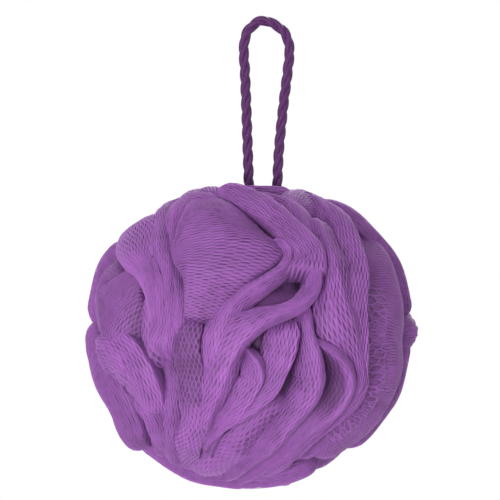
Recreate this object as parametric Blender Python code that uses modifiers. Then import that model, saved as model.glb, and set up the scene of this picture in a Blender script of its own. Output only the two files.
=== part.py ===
"""Net bath puff on a rope hanging loop.

Four lengths of tubular net, gathered in the middle and bound, whose folded edges stand out all round as
the ruffles of a ball. A rope is tied round their waist and comes out on top as the loop it hangs by.
Metres, +Z up, seen from the front along +Y. The origin is the inner top of the loop, where it hangs.
"""

import math

import bmesh
import bpy
import numpy as np
from mathutils import Vector

# Ball of net
BALL_WIDTH = 0.1210
BALL_DEPTH = 0.1060
BALL_HEIGHT = 0.1125
BALL_ASIDE = 0.0050  # how far the ball's middle lies left of the loop
RUFFLE_DEPTH = 0.0100  # from the ball's surface down to the floor of the gaps
RUFFLE_WALL = 2.5  # how steeply a ruffle goes down beyond its edges
RUFFLE_END = 1.2  # and beyond its ends
BACK_RUFFLES = 15
BACK_RUFFLE_BROAD = 12.0  # one side of each of the back's ruffles, in millimetres as all that follows
BACK_RUFFLE_NARROW = 4.0  # its other side
BACK_RUFFLE_BROAD_DROP = 4.5
BACK_RUFFLE_NARROW_DROP = 6.0
BACK_RUFFLE_HEIGHT = 1.4  # most that one stands above or below the ball's surface
NET_TRIANGLES = 6500  # of the whole ball, before it is parted

# Hanging loop
ROPE_RADIUS = 0.0020
LOOP_LENGTH = 0.0600  # from the hanging point down to the ball
LOOP_LEFT = 0.0072  # from the middle to the rope's centre line, at the loop's shoulders
LOOP_RIGHT = 0.0098
LOOP_FOOT_HALF = 0.0053
SWING_LIMIT = math.radians(75)

# Waist, its winding and the rope's turns round it
WAIST_RADIUS = 0.0064
TIE_RADIUS = 0.0008
TIE_TURNS = 4
TURN_GAP = 0.0006  # between one turn and the next, of the tie and of the rope
ROPE_TURNS = 1.5
KNOT_RADIUS = 0.0050
KNOT_TAIL = 0.0100
TIE_KNOT_RADIUS = 0.0020
TIE_TAIL = 0.0070

# Fit
CLEAR = 0.0004  # between neighbours that touch
LENGTH_GAP = 0.0005  # between two lengths of net
SWING_CLEAR = 0.0005

ROPE_COLOUR = (0.115, 0.028, 0.145, 1)
TIE_COLOUR = (0.60, 0.55, 0.62, 1)
NET_COLOURS = (
    (0.270, 0.088, 0.350, 1),
    (0.310, 0.105, 0.395, 1),
    (0.240, 0.078, 0.315, 1),
    (0.285, 0.096, 0.365, 1),
)

HINGE_Z = -LOOP_LENGTH
BALL = Vector((-BALL_ASIDE, 0, HINGE_Z - BALL_HEIGHT / 2 + SWING_CLEAR))
HALF = np.array([BALL_WIDTH, BALL_DEPTH, BALL_HEIGHT]) / 2
MEAN_RADIUS = float(HALF.mean())

# Ruffles of the front: how many millimetres each has sunk by its left and its right edge, then its crest
# as longitude, latitude, height above the ball's own surface and width to the left and to the right of it.
# Degrees, 0 facing the viewer and + to the right and up, and millimetres.
FRONT_RUFFLES = (
    # Round band from the top to the hollow in the middle, and its lower half
    (3, 5, ((-57, 70, 1.5, 6, 4), (-20, 74, 2, 8, 4), (12, 65, 2, 9, 4), (24, 54, 2, 9, 4),
            (30, 42, 2.5, 10, 4), (33, 33, 2.5, 12, 4), (31, 23, 2, 19, 4))),
    (3, 5, ((31, 35, 1, 3, 2), (30.5, 27, 2.2, 4, 2), (28, 20, 2.6, 4.2, 2.2), (22, 14.5, 2.4, 3.8, 3),
            (14, 11, 2.2, 2.6, 4), (7, 7.5, 1.7, 6, 4), (3, 4, 1.5, 10, 3), (-3, -2, 1.5, 13, 3),
            (-8, -10, 1, 13, 4), (-20, -33, 0, 9, 5), (-27, -43, 0, 6, 5))),
    # Broad pillow at the upper left with the lip round its lower side
    (2.5, 4.5, ((-61, 66, 0, 1, 9), (-37, 52, 1, 7, 21), (-31, 42, 1.5, 10, 33), (-28, 34, 1.5, 9, 36),
                (-26, 23, 1, 3, 23), (-25.5, 14, 0.5, 1.2, 15.5), (-26, 6, -0.5, 1.5, 12))),
    (4.5, 3, ((9, 44, -1.5, 2, 3), (16, 41, 0.5, 2.5, 3.5), (19, 35, 1.5, 3, 3.5), (15, 28.5, 1.8, 3.5, 4),
              (5, 23, 0.3, 4.5, 5), (-3, 18, -0.5, 5.5, 6), (-9, 11, 0, 6, 7), (-12, 3, 0, 7, 7),
              (-14, -6, -0.6, 7, 7), (-19, -27, -1, 7, 6), (-36, -51, -0.5, 5, 5))),
    # Cloth in the valley under the pillow and in the hollow in the middle
    (4, 4, ((26, 32, -6.5, 6, 6), (12, 31, -6.5, 6, 6), (2, 25, -6, 6, 6), (-6, 18, -5, 6, 6))),
    (4, 4, ((34, 17, -6.5, 8, 8), (22, 18, -6.5, 8, 8), (10, 15, -6.5, 8, 8), (-2, 10, -6, 8, 8))),
    # Columns side by side under the pillow and left of it
    (2.5, 2, ((-23, 11, 0, 6, 6), (-26, -4, 1, 6, 6), (-26, -24, 1, 6, 6), (-44, -51, 0, 6, 6),
              (-77, -64, 0, 6, 6))),
    (2, 2, ((-62, 59, -1, 4, 4), (-40, 30, -3, 4, 4), (-30, 12, -1.5, 4, 4), (-31, -8, -1.5, 4, 4))),
    (2, 2, ((-79, 58, 0, 4, 4), (-43, 30, -1, 4, 4), (-34, 9, 0, 4, 4), (-34, -11, -1, 4, 4))),
    (4, 2.5, ((-73, 50, 0.5, 3, 4), (-55, 38, -1, 4, 4), (-39, 16, 0.5, 5, 4), (-36, 6, 1.5, 6, 4.5),
              (-38, -2, 2, 6, 5), (-38, -9, 0, 5, 4))),
    (4, 4, ((-50, 22, -2.5, 7, 7), (-45, 3, -2.5, 7, 7), (-42, -16, -3.5, 7, 7))),
    (4, 4, ((-38, -4, -5, 7, 7), (-37, -22, -3.5, 7, 7), (-53, -48, 0, 7, 7), (-78, -62, 0, 7, 7))),
    # Folded edge and broad petal on the left
    (3, 3, ((-90, 46, 2, 2.5, 8), (-85, 39, 2.8, 2.5, 15), (-73, 32, 2, 2.5, 18), (-60, 27, 1.5, 2.5, 14),
            (-42, 13, 1.5, 2.5, 6), (-39, 0, -1, 2.5, 4))),
    (4, 4, ((-90, 32, 2, 5, 8), (-93, 22, 2.6, 5, 8), (-84, 4, 1, 5, 8))),
    (3, 3, ((-72, 34, -2, 6, 6), (-76, 27, 0, 8, 19), (-77, 18, 1, 10, 31), (-70, 10, 0.5, 10, 29),
            (-61, 3, 0, 8, 20), (-50, -2, -1, 6, 10))),
    # Broad sheets at the lower left, and the rim between them
    (3.5, 3.5, ((-77, 0, 1, 8, 4), (-64, -4, 1, 12, 9), (-53, -15, 1, 12, 10), (-50, -28, 0.5, 6, 8),
                (-66, -53, 0, 4, 5))),
    (4, 5, ((-90, 5, 0, 8, 9), (-84, -13, 0.5, 8, 13), (-80, -30, 1.2, 8, 13), (-92, -48, 2.6, 8, 9))),
    (8, 3, ((-62, -25, -1, 3, 6), (-51, -32, 1, 6, 6), (-76, -55, 0, 5, 6))),
    (4, 4, ((-96, -42, 2, 7, 7), (-84, -50, 2.4, 7, 7), (-74, -60, 2.8, 7, 7), (-68, -72, 2.2, 7, 7),
            (-30, -81, 1.4, 7, 7), (40, -84, 1, 7, 7))),
    # Fan of ruffles under the hollow
    (3, 6, ((-4, -2, -1.5, 5, 2.5), (5, -16, 0.5, 9, 2.5), (-4, -31, 0, 8, 2.5), (-34, -55, 0, 5, 2.5))),
    (4, 9, ((20, 9, -1, 12, 2.5), (18, -6, 0, 13, 2.5), (12, -21, 0.5, 11, 2.5), (-2, -32, 0, 8, 2.5),
            (-20, -46, 0, 5, 2.5), (-34, -60, 0, 5, 2.5))),
    (6, 3, ((26, 16, -3, 4, 5), (24.5, 1, -0.5, 5, 3), (29, -17, 1.5, 8, 4), (20, -37, 0.5, 6, 5),
            (0, -59, 0.5, 5, 5), (-18, -69, 0.5, 4, 4), (-70, -76, 0.5, 4, 4))),
    (3, 3, ((20, -25, -5, 9, 9), (-1, -47, -2, 9, 9), (-45, -66, 0, 9, 9), (-80, -68, 0, 9, 9))),
    # Rim of the scoop at the lower right, which falls steeply into it
    (10, 2.5, ((24, 1, -1, 2, 3), (32, -5.5, 1.6, 4, 4), (41, -13.5, 1.8, 5, 4), (42, -25, 1.2, 5, 4),
               (32, -38, 0, 5, 6), (17, -59, 0, 4, 6), (0, -71, 0, 4, 6), (-60, -80, 0, 4, 6))),
    # Long bands down the right side
    (5, 2.5, ((46, 57, 0.5, 4, 9), (38, 31, 1.5, 5, 9), (39, 12, 1.5, 12, 9), (43, 1, 1, 14, 7),
              (48, -16, 0.5, 3, 4), (34, -41, 0, 4, 4), (20, -64, 0, 5, 5), (0, -76, 0, 5, 5))),
    (4, 7, ((76, 62, 2, 4, 2.5), (61, 38, 1.5, 9, 2.5), (50, 14, 1.3, 8, 2.5), (49, -10, 1, 6, 2.5),
            (49, -29, 0, 4, 2.5), (32, -62, -0.5, 4, 2.5))),
    (8.5, 4, ((84, 48, 0, 6, 7), (79, 27, 0.6, 18, 12), (70, 5, 0, 22, 16), (70, -16, 0.5, 21, 15),
              (68, -36, 1, 18, 10), (52, -58, 0, 7, 7))),
    (4.2, 1, ((67, 20, -1.6, 12, 2), (61, -4, -1, 12, 2), (61, -26, -0.1, 12, 2), (48, -47, -0.4, 12, 2))),
    (4, 3, ((64, 30, -4.5, 8, 8), (57, 5, -5, 8, 8), (58, -23, -5, 8, 8), (52, -35, -4, 8, 8))),
    # Behind the loop's foot, and along the right and lower outline
    (4, 4, ((-3, 82, 0, 5, 9), (24, 71, 0, 5, 9), (36, 60, 0, 5, 9), (34, 36, -0.5, 5, 9))),
    (4, 4, ((44, 72, 0.5, 5, 7), (74, 68, 1.5, 5, 7), (57, 46, -1, 5, 7))),
    (4, 4, ((86, 59, 2.4, 7, 7), (86, 43, 2.6, 7, 7), (88, 27, 3.2, 7, 7), (88, 13, 3, 7, 7))),
    (4, 4, ((74, -2, -1.5, 8, 7), (83, 1, 1, 8, 7), (92, 2.5, 2, 8, 7), (103, 6, 1.2, 8, 7),
            (116, 12, -1, 8, 7))),
    (4, 4, ((90, 4, 0.4, 7, 8), (86, -20, 0, 7, 8), (80, -32, 0.5, 7, 8), (68, -51, 0.4, 7, 8))),
    (4, 4, ((72, -56, -2, 7, 7), (66, -62, 0.8, 7, 7), (41, -74, 1.2, 7, 7), (-10, -80, 1.4, 7, 7),
            (-70, -76, 1, 7, 7))),
)

# Ruffles that run over the top, beside the rope and in front of it and behind it, and under the ball
CAP_RUFFLES = (
    (4, 4, ((-31, 66, 0.5, 7, 7), (-62, 72, 1, 7, 7), (-105, 70, 1, 7, 7), (-148, 58, 0.6, 7, 7),
            (-166, 42, 0, 7, 7))),
    (4, 4, ((33, 46, 0, 7, 7), (32, 59, 0, 7, 7), (46, 67, 1, 7, 7), (92, 68, 1, 7, 7),
            (128, 60, 0.8, 7, 7), (148, 45, 0, 7, 7))),
    (4, 4, ((-92, 48, 0.5, 7, 7), (-86, 56, 1, 7, 7), (-70, 63, 1.4, 7, 7), (-22, 66, 0, 7, 7))),
    (4, 4, ((-38, 78, 1.5, 5, 5), (8, 79, 1.5, 5, 5), (62, 71, 1.5, 5, 5))),
    (4, 6, ((105, 76, 0.6, 10, 4), (150, 79, 1, 10, 4), (186, 71, 1, 10, 4), (200, 58, 0.8, 10, 4),
            (196, 42, 0, 10, 4))),
    (4, 4, ((60, -74, 1, 8, 8), (120, -76, 1, 8, 8), (170, -72, 0, 8, 8))),
    (4, 4, ((-100, -68, 0, 8, 8), (-130, -76, 0, 8, 8), (-170, -84, 0.5, 8, 8), (120, -86, 0.5, 8, 8))),
)

# Gap lines between the lengths of net, as longitudes at latitudes -90, -60, -30, 0, 30, 60 and 90
GAP_LINES = (
    (-120, -112, -92, -80, -98, -100, -110),
    (-60, -36, -6, 9, 15, 0, -20),
    (64, 70, 80, 82, 83, 78, 74),
    (176, 173, 176, 171, 169, 174, 175),
)


# Objects and meshes


def material(name, colour, roughness):
    made = bpy.data.materials.new(name)
    made.use_nodes = True
    shader = made.node_tree.nodes["Principled BSDF"]
    shader.inputs["Base Color"].default_value = colour
    shader.inputs["Roughness"].default_value = roughness
    made.diffuse_color = colour
    return made


def add_object(name, data, finish=None, parent=None):
    made = bpy.data.objects.new(name, data)
    bpy.context.scene.collection.objects.link(made)
    if finish:
        data.materials.append(finish)
    if parent:
        made.parent = parent
        made.matrix_parent_inverse = parent.matrix_world.inverted()
    return made


def cutter(name, data):
    made = add_object(name, data)
    made.hide_render = True
    return made


def evaluated_mesh(obj, name):
    """A new mesh with the object's modifiers, or its curve's bevel, worked in."""
    bpy.context.view_layer.update()
    graph = bpy.context.evaluated_depsgraph_get()
    mesh = bpy.data.meshes.new_from_object(obj.evaluated_get(graph))
    mesh.name = name
    return mesh


def add_boolean(obj, operation, other):
    step = obj.modifiers.new(other.name, "BOOLEAN")
    step.operation = operation
    step.object = other
    step.solver = "EXACT"
    step.use_self = True


def sphere_mesh(name, centre, radius, segments, rings):
    ball = bmesh.new()
    bmesh.ops.create_uvsphere(ball, u_segments=segments, v_segments=rings, radius=radius)
    bmesh.ops.translate(ball, verts=ball.verts, vec=centre)
    mesh = bpy.data.meshes.new(name)
    ball.to_mesh(mesh)
    ball.free()
    return mesh


def turned_ring(name, inner, outer, low, high):
    """A ring of square section round the waist, a profile turned by a Screw modifier, as a cutter."""
    profile = bmesh.new()
    ends = ((inner, low), (inner, high), (outer, high), (outer, low))
    corners = [profile.verts.new((r, 0, z)) for r, z in ends]
    for a, b in zip(corners, corners[1:] + corners[:1]):
        profile.edges.new((a, b))
    mesh = bpy.data.meshes.new(name)
    profile.to_mesh(mesh)
    profile.free()
    ring = cutter(name, mesh)
    ring.location = BALL
    turn = ring.modifiers.new("turn", "SCREW")
    turn.steps = 20
    turn.render_steps = 20
    turn.use_merge_vertices = True
    turn.merge_threshold = 0.00001
    return ring


# Smooth ways and tubes


def smooth_way(points, steps):
    """Catmull-Rom curve through the points, with this many steps from one to the next."""
    points = np.asarray(points, float)
    ends = np.vstack([2 * points[0] - points[1], points, 2 * points[-1] - points[-2]])
    t = np.arange(steps)[:, None] / steps
    way = []
    for a, b, c, d in zip(ends, ends[1:], ends[2:], ends[3:]):
        curve = 2 * b + (c - a) * t + (2 * a - 5 * b + 4 * c - d) * t**2 + (3 * b - a - 3 * c + d) * t**3
        way.append(curve / 2)
    return np.vstack([*way, points[-1:]])


def helix(radius, first_angle, turns, top, rise, per_turn):
    """Points of a winding round the waist, from its top down, a rise lower with each turn."""
    t = np.linspace(0, turns, round(turns * per_turn) + 1)
    angle = first_angle + 2 * math.pi * t
    return np.stack([BALL.x + radius * np.cos(angle), radius * np.sin(angle), top - rise * t], axis=1)


def tube(name, way, radius, sides=2, taper=None):
    """A round tube along the way, a POLY curve with filled caps."""
    curve = bpy.data.curves.new(name, "CURVE")
    curve.dimensions = "3D"
    curve.bevel_depth = radius
    curve.bevel_resolution = sides
    curve.use_fill_caps = True
    spline = curve.splines.new("POLY")
    spline.points.add(len(way) - 1)
    for i, place in enumerate(way):
        spline.points[i].co = (*place, 1)
        spline.points[i].radius = 1 if taper is None else taper[i]
    return curve


def tube_cutter(name, way, radius):
    source = cutter(name + "_line", tube(name + "_line", way, radius))
    made = cutter(name, evaluated_mesh(source, name))
    bpy.data.objects.remove(source)
    return made


def rounded_ends(way, radius):
    """The way with more points past each end, and the share of the radius at each, for ball-shaped ends."""
    lifts = np.array([0.97, 0.80, 0.50])
    before = (way[0] - way[1]) / np.linalg.norm(way[0] - way[1])
    after = (way[-1] - way[-2]) / np.linalg.norm(way[-1] - way[-2])
    first = way[0] + np.outer(lifts * radius, before)
    last = way[-1] + np.outer(lifts[::-1] * radius, after)
    shares = np.sqrt(1 - lifts**2)
    return np.vstack([first, way, last]), np.concatenate([shares, np.ones(len(way)), shares[::-1]])


def print_least_gap(name, way, radius):
    """Prints the least gap of a wound tube to itself, between stretches over three diameters apart."""
    run = np.concatenate([[0], np.cumsum(np.linalg.norm(np.diff(way, axis=0), axis=1))])
    apart = np.linalg.norm(way[:, None] - way[None], axis=2)
    far = np.abs(run[:, None] - run[None]) > 6 * radius
    print(f"{name}: least gap to itself {1000 * (apart[far].min() - 2 * radius):.2f} mm")


# Ball of ruffles


def direction(lon, lat):
    lon, lat = np.radians(lon), np.radians(lat)
    return np.stack([np.cos(lat) * np.sin(lon), -np.cos(lat) * np.cos(lon), np.sin(lat)], axis=-1)


def back_ruffles():
    """Ruffles of the back: upright sheets side by side that sway and lean together, the broad side of each
    running in under its neighbour's narrow one, with every third one turned about."""
    last = BACK_RUFFLES - 1
    lat = np.linspace(-70, 70, 11)
    for i in range(BACK_RUFFLES):
        middle = 104 + i * (258 - 104) / last + 2 * math.sin(2.7 * i)
        sway = 8 * np.sin(np.radians(2.3 * lat) + 0.6 * i + 0.9 * math.sin(1.9 * i))
        lean = 12 * np.sin(np.radians(lat)) * math.sin(0.5 * i + 0.4)
        height = BACK_RUFFLE_HEIGHT * math.sin(2.4 * i + 0.5) * np.sin(np.radians(2.1 * lat) + i)
        height -= 0.4 + 0.6 * (i % 2) + 1.5 * (i in (0, last))
        sides = [BACK_RUFFLE_BROAD + 3 * math.sin(3.1 * i), BACK_RUFFLE_NARROW + math.cos(2.3 * i)]
        drops = [BACK_RUFFLE_BROAD_DROP + 1.2 * math.sin(1.1 * i), BACK_RUFFLE_NARROW_DROP]
        if i % 3 == 2:
            sides.reverse()
            drops.reverse()
        way = np.stack([middle + sway + lean, lat, height, *np.outer(sides, np.ones(11))], axis=1)
        yield *drops, way


def fall_from_crest(aim, way, drops):
    """How far the ruffle's surface is above the ball's own in each direction, in millimetres. It sinks by
    its drop out to its edge on each side, then goes down as a wall."""
    laid = smooth_way(np.hstack([direction(*way[:, :2].T), way[:, 2:]]), 10)
    crest = laid[:, :3] / np.linalg.norm(laid[:, :3], axis=1, keepdims=True)
    ahead = np.gradient(crest, axis=0)
    ahead /= np.linalg.norm(ahead, axis=1, keepdims=True)
    near = (aim @ crest.T).argmax(axis=1)
    rightwards = (aim * np.cross(crest, ahead)[near]).sum(axis=1) * 1000 * MEAN_RADIUS
    past = np.abs((aim * ahead[near]).sum(axis=1)) * np.isin(near, (0, len(crest) - 1)) * 1000 * MEAN_RADIUS
    edge = np.where(rightwards > 0, laid[near, 5], laid[near, 4])
    drop = np.where(rightwards > 0, drops[1], drops[0])
    share = np.abs(rightwards) / edge
    beyond = np.maximum(np.abs(rightwards) - edge, 0)
    facing = (aim * crest[near]).sum(axis=1) > 0.3
    fall = drop * np.minimum(share, 1) ** 1.5 + RUFFLE_WALL * beyond + RUFFLE_END * past
    return np.where(facing, laid[near, 3] - fall, -np.inf)


def ruffled_radius(aim):
    """Distance from the ball's middle to the net in each direction: the highest ruffle over it."""
    rise = np.full(len(aim), -RUFFLE_DEPTH)
    for left_drop, right_drop, way in FRONT_RUFFLES + CAP_RUFFLES + tuple(back_ruffles()):
        rise = np.maximum(rise, fall_from_crest(aim, np.array(way, float), (left_drop, right_drop)) / 1000)
    return 1 / np.linalg.norm(aim / HALF, axis=1) + rise


def kept_from_loop(points):
    """Points drawn in towards the ball's middle where the swinging loop would meet them: the net stays
    under a trough that rises to the front and the back as the loop does at its limit."""
    slope = 1 / math.tan(SWING_LIMIT)
    under = ROPE_RADIUS / math.sin(SWING_LIMIT) + SWING_CLEAR
    reach = max(LOOP_LEFT, LOOP_RIGHT) + ROPE_RADIUS + SWING_CLEAR
    beside = np.clip((np.abs(points[:, 0]) - reach) / ROPE_RADIUS, 0, 1)
    limit = HINGE_Z - under + slope * np.abs(points[:, 1]) + BALL_HEIGHT * beside
    over = points[:, 2] > limit
    share = np.where(over, (limit - BALL.z) / np.maximum(points[:, 2] - BALL.z, CLEAR), 1)
    return np.array(BALL) + (points - np.array(BALL)) * share[:, None]


def ruffled_ball():
    """The whole ball as one closed surface: a sphere whose points go out to the ruffles, then thinned."""
    ball = bmesh.new()
    bmesh.ops.create_icosphere(ball, subdivisions=7, radius=1)
    mesh = bpy.data.meshes.new("whole_ball")
    ball.to_mesh(mesh)
    ball.free()
    aim = np.empty(len(mesh.vertices) * 3)
    mesh.vertices.foreach_get("co", aim)
    aim = aim.reshape(-1, 3)
    aim /= np.linalg.norm(aim, axis=1, keepdims=True)
    points = kept_from_loop(np.array(BALL) + aim * ruffled_radius(aim)[:, None])
    mesh.vertices.foreach_set("co", points.ravel())
    source = cutter("whole_ball", mesh)
    thinned = source.modifiers.new("thinned", "DECIMATE")
    thinned.ratio = NET_TRIANGLES / len(mesh.polygons)
    whole = evaluated_mesh(source, "ruffled_ball")
    bpy.data.objects.remove(source)
    return whole


def sector_cutter(name, left, right):
    """A wedge of the ball between two gap lines, each given as longitudes at even latitudes."""
    rows, columns = 19, 5
    lat = np.linspace(-89.2, 89.2, rows)
    known = np.linspace(-90, 90, len(left))
    sides = np.stack([np.interp(lat, known, left), np.interp(lat, known, right)])
    wedge = bmesh.new()
    bmesh.ops.create_grid(wedge, x_segments=columns - 1, y_segments=rows - 1, size=1)
    reach = 1.6 * max(HALF)
    for point in wedge.verts:
        row = round((point.co.y + 1) / 2 * (rows - 1))
        lon = np.interp(point.co.x, (-1, 1), sides[:, row])
        point.co = Vector(direction(lon, lat[row]) * reach)
    rim = [edge for edge in wedge.edges if edge.is_boundary]
    drawn = bmesh.ops.extrude_edge_only(wedge, edges=rim)["geom"]
    inner = [item for item in drawn if isinstance(item, bmesh.types.BMVert)]
    bmesh.ops.scale(wedge, vec=(0.002, 0.002, 0.002), verts=inner)
    bmesh.ops.contextual_create(wedge, geom=[edge for edge in wedge.edges if edge.is_boundary])
    bmesh.ops.recalc_face_normals(wedge, faces=wedge.faces)
    outwards = Vector(direction(sides.mean(), 0)) * LENGTH_GAP / math.sqrt(2)
    bmesh.ops.translate(wedge, verts=wedge.verts, vec=BALL + outwards)
    mesh = bpy.data.meshes.new(name)
    wedge.to_mesh(mesh)
    wedge.free()
    return cutter(name, mesh)


def add_net_lengths(parent, spaces):
    """Four lengths of net, each a sector of the ball, with the given spaces cut out of them."""
    whole = ruffled_ball()
    last = tuple(lon + 360 for lon in GAP_LINES[0])
    for i, (left, right) in enumerate(zip(GAP_LINES, GAP_LINES[1:] + (last,))):
        name = f"net_length_{i + 1}"
        net = add_object(name, whole.copy(), material(name, NET_COLOURS[i], 0.62), parent)
        add_boolean(net, "INTERSECT", sector_cutter(f"sector_{i + 1}", left, right))
        for space in spaces:
            add_boolean(net, "DIFFERENCE", space)


# Rope

TURN_RADIUS = WAIST_RADIUS + CLEAR + ROPE_RADIUS
TURN_RISE = 2 * ROPE_RADIUS + TURN_GAP
TIE_WIND_RADIUS = WAIST_RADIUS + CLEAR + TIE_RADIUS
TIE_RISE = 2 * TIE_RADIUS + TURN_GAP
TIE_TOP = BALL.z + TIE_TURNS * TIE_RISE / 2  # centre line of the tie's first turn
TURN_LOW = TIE_TOP + TIE_RADIUS + CLEAR + ROPE_RADIUS  # centre line of the rope's last turn
TURN_TOP = TURN_LOW + ROPE_TURNS * TURN_RISE
LEG_TOP = HINGE_Z - ROPE_RADIUS - CLEAR
TURN_END = Vector((BALL.x + TURN_RADIUS, 0, TURN_LOW)) + Vector((0.8, 2.5, -0.4)) * ROPE_RADIUS
KNOT = TURN_END + Vector((0.3, 1, -0.15)).normalized() * (CLEAR + KNOT_RADIUS)


def loop_way():
    """Centre line of the loop outside the ball, from its left foot over the top to its right foot."""
    crown = ROPE_RADIUS
    chosen = (
        (-LOOP_FOOT_HALF, 0, HINGE_Z),
        (-LOOP_FOOT_HALF - 0.2 * ROPE_RADIUS, 0, HINGE_Z + 0.2 * LOOP_LENGTH),
        (-0.5 * (LOOP_FOOT_HALF + LOOP_LEFT), 0, -0.52 * LOOP_LENGTH),
        (-LOOP_LEFT + 0.2 * ROPE_RADIUS, 0, -0.28 * LOOP_LENGTH),
        (-LOOP_LEFT, 0, crown - 5.2 * ROPE_RADIUS),
        (-0.78 * LOOP_LEFT, 0, crown - 1.9 * ROPE_RADIUS),
        (0, 0, crown),
        (0.74 * LOOP_RIGHT, 0, crown - 1.8 * ROPE_RADIUS),
        (LOOP_RIGHT, 0, crown - 5 * ROPE_RADIUS),
        (LOOP_RIGHT - 0.3 * ROPE_RADIUS, 0, -0.28 * LOOP_LENGTH),
        (0.5 * (LOOP_FOOT_HALF + LOOP_RIGHT), 0, -0.50 * LOOP_LENGTH),
        (LOOP_FOOT_HALF + 0.3 * ROPE_RADIUS, 0, HINGE_Z + 0.22 * LOOP_LENGTH),
        (LOOP_FOOT_HALF, 0, HINGE_Z),
    )
    return smooth_way(chosen, 3)


def left_leg_way():
    """From under the loop's left foot down beside the waist, then round it and on to the knot."""
    turns = helix(TURN_RADIUS, math.pi, ROPE_TURNS, TURN_TOP, TURN_RISE, 16)
    start = turns[0]
    down = smooth_way(
        (
            (-LOOP_FOOT_HALF, 0, LEG_TOP),
            (-LOOP_FOOT_HALF - 0.4 * ROPE_RADIUS, 0.3 * ROPE_RADIUS, LEG_TOP - 4.5 * ROPE_RADIUS),
            tuple(start + np.array([1.6, 2.0, 10.5]) * ROPE_RADIUS),
            tuple(start + np.array([0.3, 3.1, 5.0]) * ROPE_RADIUS),
            tuple(start + np.array([0.4, 2.0, 1.5]) * ROPE_RADIUS),
            tuple(start),
        ),
        3,
    )
    leaving = turns[-1] + np.array([0.25, 1.25, -0.15]) * ROPE_RADIUS
    return np.vstack([down[:-1], turns, leaving, TURN_END])


def right_leg_way():
    """From under the loop's right foot down outside the rope's turns to the knot."""
    chosen = (
        (LOOP_FOOT_HALF, 0, LEG_TOP),
        (LOOP_FOOT_HALF + 0.5 * ROPE_RADIUS, 0.5 * ROPE_RADIUS, LEG_TOP - 6 * ROPE_RADIUS),
        (KNOT.x + 0.8 * ROPE_RADIUS, 0.6 * KNOT.y, TURN_TOP + 5 * ROPE_RADIUS),
        (KNOT.x + 0.3 * ROPE_RADIUS, KNOT.y, KNOT.z + KNOT_RADIUS + 2 * ROPE_RADIUS),
        (KNOT.x, KNOT.y, KNOT.z + KNOT_RADIUS + CLEAR),
    )
    return smooth_way(chosen, 3)


def merged(name, pieces):
    """One mesh from overlapping closed pieces, by Boolean union."""
    first = pieces[0]
    for other in pieces[1:]:
        add_boolean(first, "UNION", other)
    mesh = evaluated_mesh(first, name)
    for piece in pieces:
        bpy.data.objects.remove(piece)
    return mesh


def knot_mesh(name, more):
    """The rope's knot, drawn tight, with its two tails. More is how much wider its space is all round."""
    body = cutter(name + "_body", sphere_mesh(name + "_body", KNOT, KNOT_RADIUS + more, 16, 10))
    pieces = [body]
    for side, aside in (("a", 0.45), ("b", -0.45)):
        end = KNOT + Vector((aside, 0.9, -0.35)).normalized() * (KNOT_RADIUS + KNOT_TAIL + more)
        way = [KNOT, KNOT.lerp(end, 0.5), end]
        pieces.append(tube_cutter(f"{name}_tail_{side}", way, ROPE_RADIUS + more))
    return merged(name, pieces)


def tie_knot_mesh(name, more):
    """The tie's knot with its two short tails."""
    aim = Vector((math.cos(math.radians(250)), math.sin(math.radians(250)), 0))
    away = TIE_WIND_RADIUS + TIE_RADIUS + CLEAR + TIE_KNOT_RADIUS
    centre = BALL + aim * away
    pieces = [cutter(name + "_body", sphere_mesh(name + "_body", centre, TIE_KNOT_RADIUS + more, 12, 8))]
    for side, rise in (("a", 0.5), ("b", -0.5)):
        end = centre + Vector((aim.x, aim.y, rise)).normalized() * (TIE_KNOT_RADIUS + TIE_TAIL + more)
        way = [centre, centre.lerp(end, 0.5), end]
        pieces.append(tube_cutter(f"{name}_tail_{side}", way, TIE_RADIUS + more))
    return merged(name, pieces)


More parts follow.
